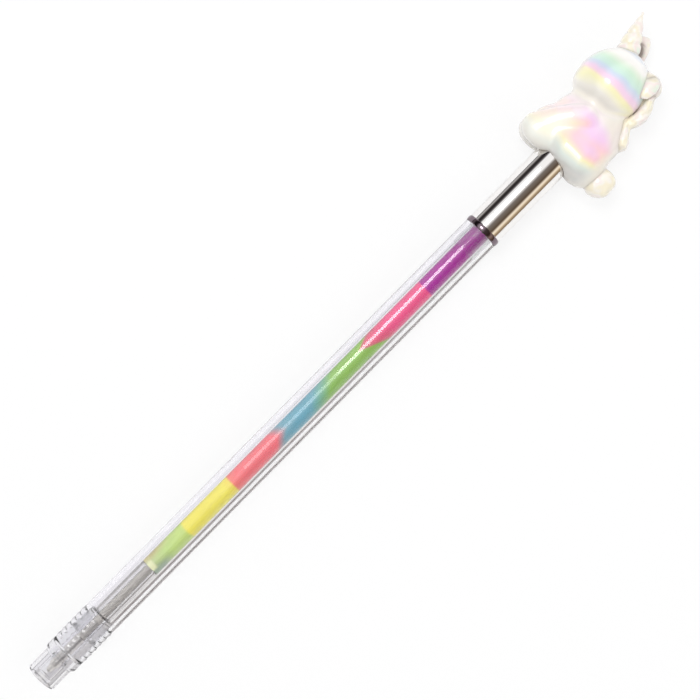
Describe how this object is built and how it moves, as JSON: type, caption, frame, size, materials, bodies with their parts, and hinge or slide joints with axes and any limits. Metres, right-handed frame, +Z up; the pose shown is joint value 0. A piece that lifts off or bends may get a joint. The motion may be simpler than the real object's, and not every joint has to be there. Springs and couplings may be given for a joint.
{
  "type": "multicolour gel pen",
  "caption": "Slim clear pen with a ringed push-on cap, a refill of banded coloured gel, a chromed collar and a pearly unicorn on its end.",
  "frame": {"origin": "on the pen's axis, in the cap's end face", "axes": "+X along the pen from the cap's end to the unicorn, +Y the way the unicorn looks, +Z up from the table the pen lies on"},
  "size_m": [0.1913, 0.0244, 0.015],
  "materials": {
    "cap": "clear polished styrene",
    "barrel": "clear polished styrene",
    "ball": "polished",
    "tip": "turned, nickel silver",
    "holder": "clear, slightly milky",
    "feed": "grey-beige, translucent",
    "refill": "clear tube",
    "ink_lime": "opaque gel",
    "ink_yellow": "opaque gel",
    "ink_coral": "opaque gel",
    "ink_blue": "opaque gel",
    "ink_green": "opaque gel",
    "ink_pink": "opaque gel",
    "ink_purple": "opaque gel",
    "follower": "clear grease",
    "plug": "clear",
    "trim": "mirror",
    "ferrule": "mirror",
    "pearl": "pearlescent lacquer, rainbow sheen"
  },
  "bodies": {
    "barrel": {"barrel": "barrel"},
    "refill": {"tip_body": "tip", "tip_holder": "holder", "feed_tube": "feed", "refill_tube": "refill", "ink_lime": "ink_lime", "ink_yellow": "ink_yellow", "ink_coral": "ink_coral", "ink_blue": "ink_blue", "ink_green": "ink_green", "ink_pink": "ink_pink", "ink_purple": "ink_purple", "ink_follower": "follower"},
    "ball": {"tip_ball": "ball"},
    "cap": {"cap": "cap"},
    "topper": {"rear_plug": "plug", "trim_ring": "trim", "ferrule": "ferrule", "unicorn": "pearl"}
  },
  "joints": [
    {"name": "refill_slide", "type": "slide", "parent": "barrel", "child": "refill", "axis": [-1, 0, 0], "range_m": [0, 0.128]},
    {"name": "cap_slide", "type": "slide", "parent": "refill", "child": "cap", "axis": [-1, 0, 0], "range_m": [0, 0.02]},
    {"name": "topper_slide", "type": "slide", "parent": "barrel", "child": "topper", "axis": [1, 0, 0], "range_m": [0, 0.0125]},
    {"name": "ball_roll", "type": "hinge", "parent": "refill", "child": "ball", "pos_m": [0.0026, 0, 0], "axis": [0, 1, 0], "continuous": true}
  ]
}
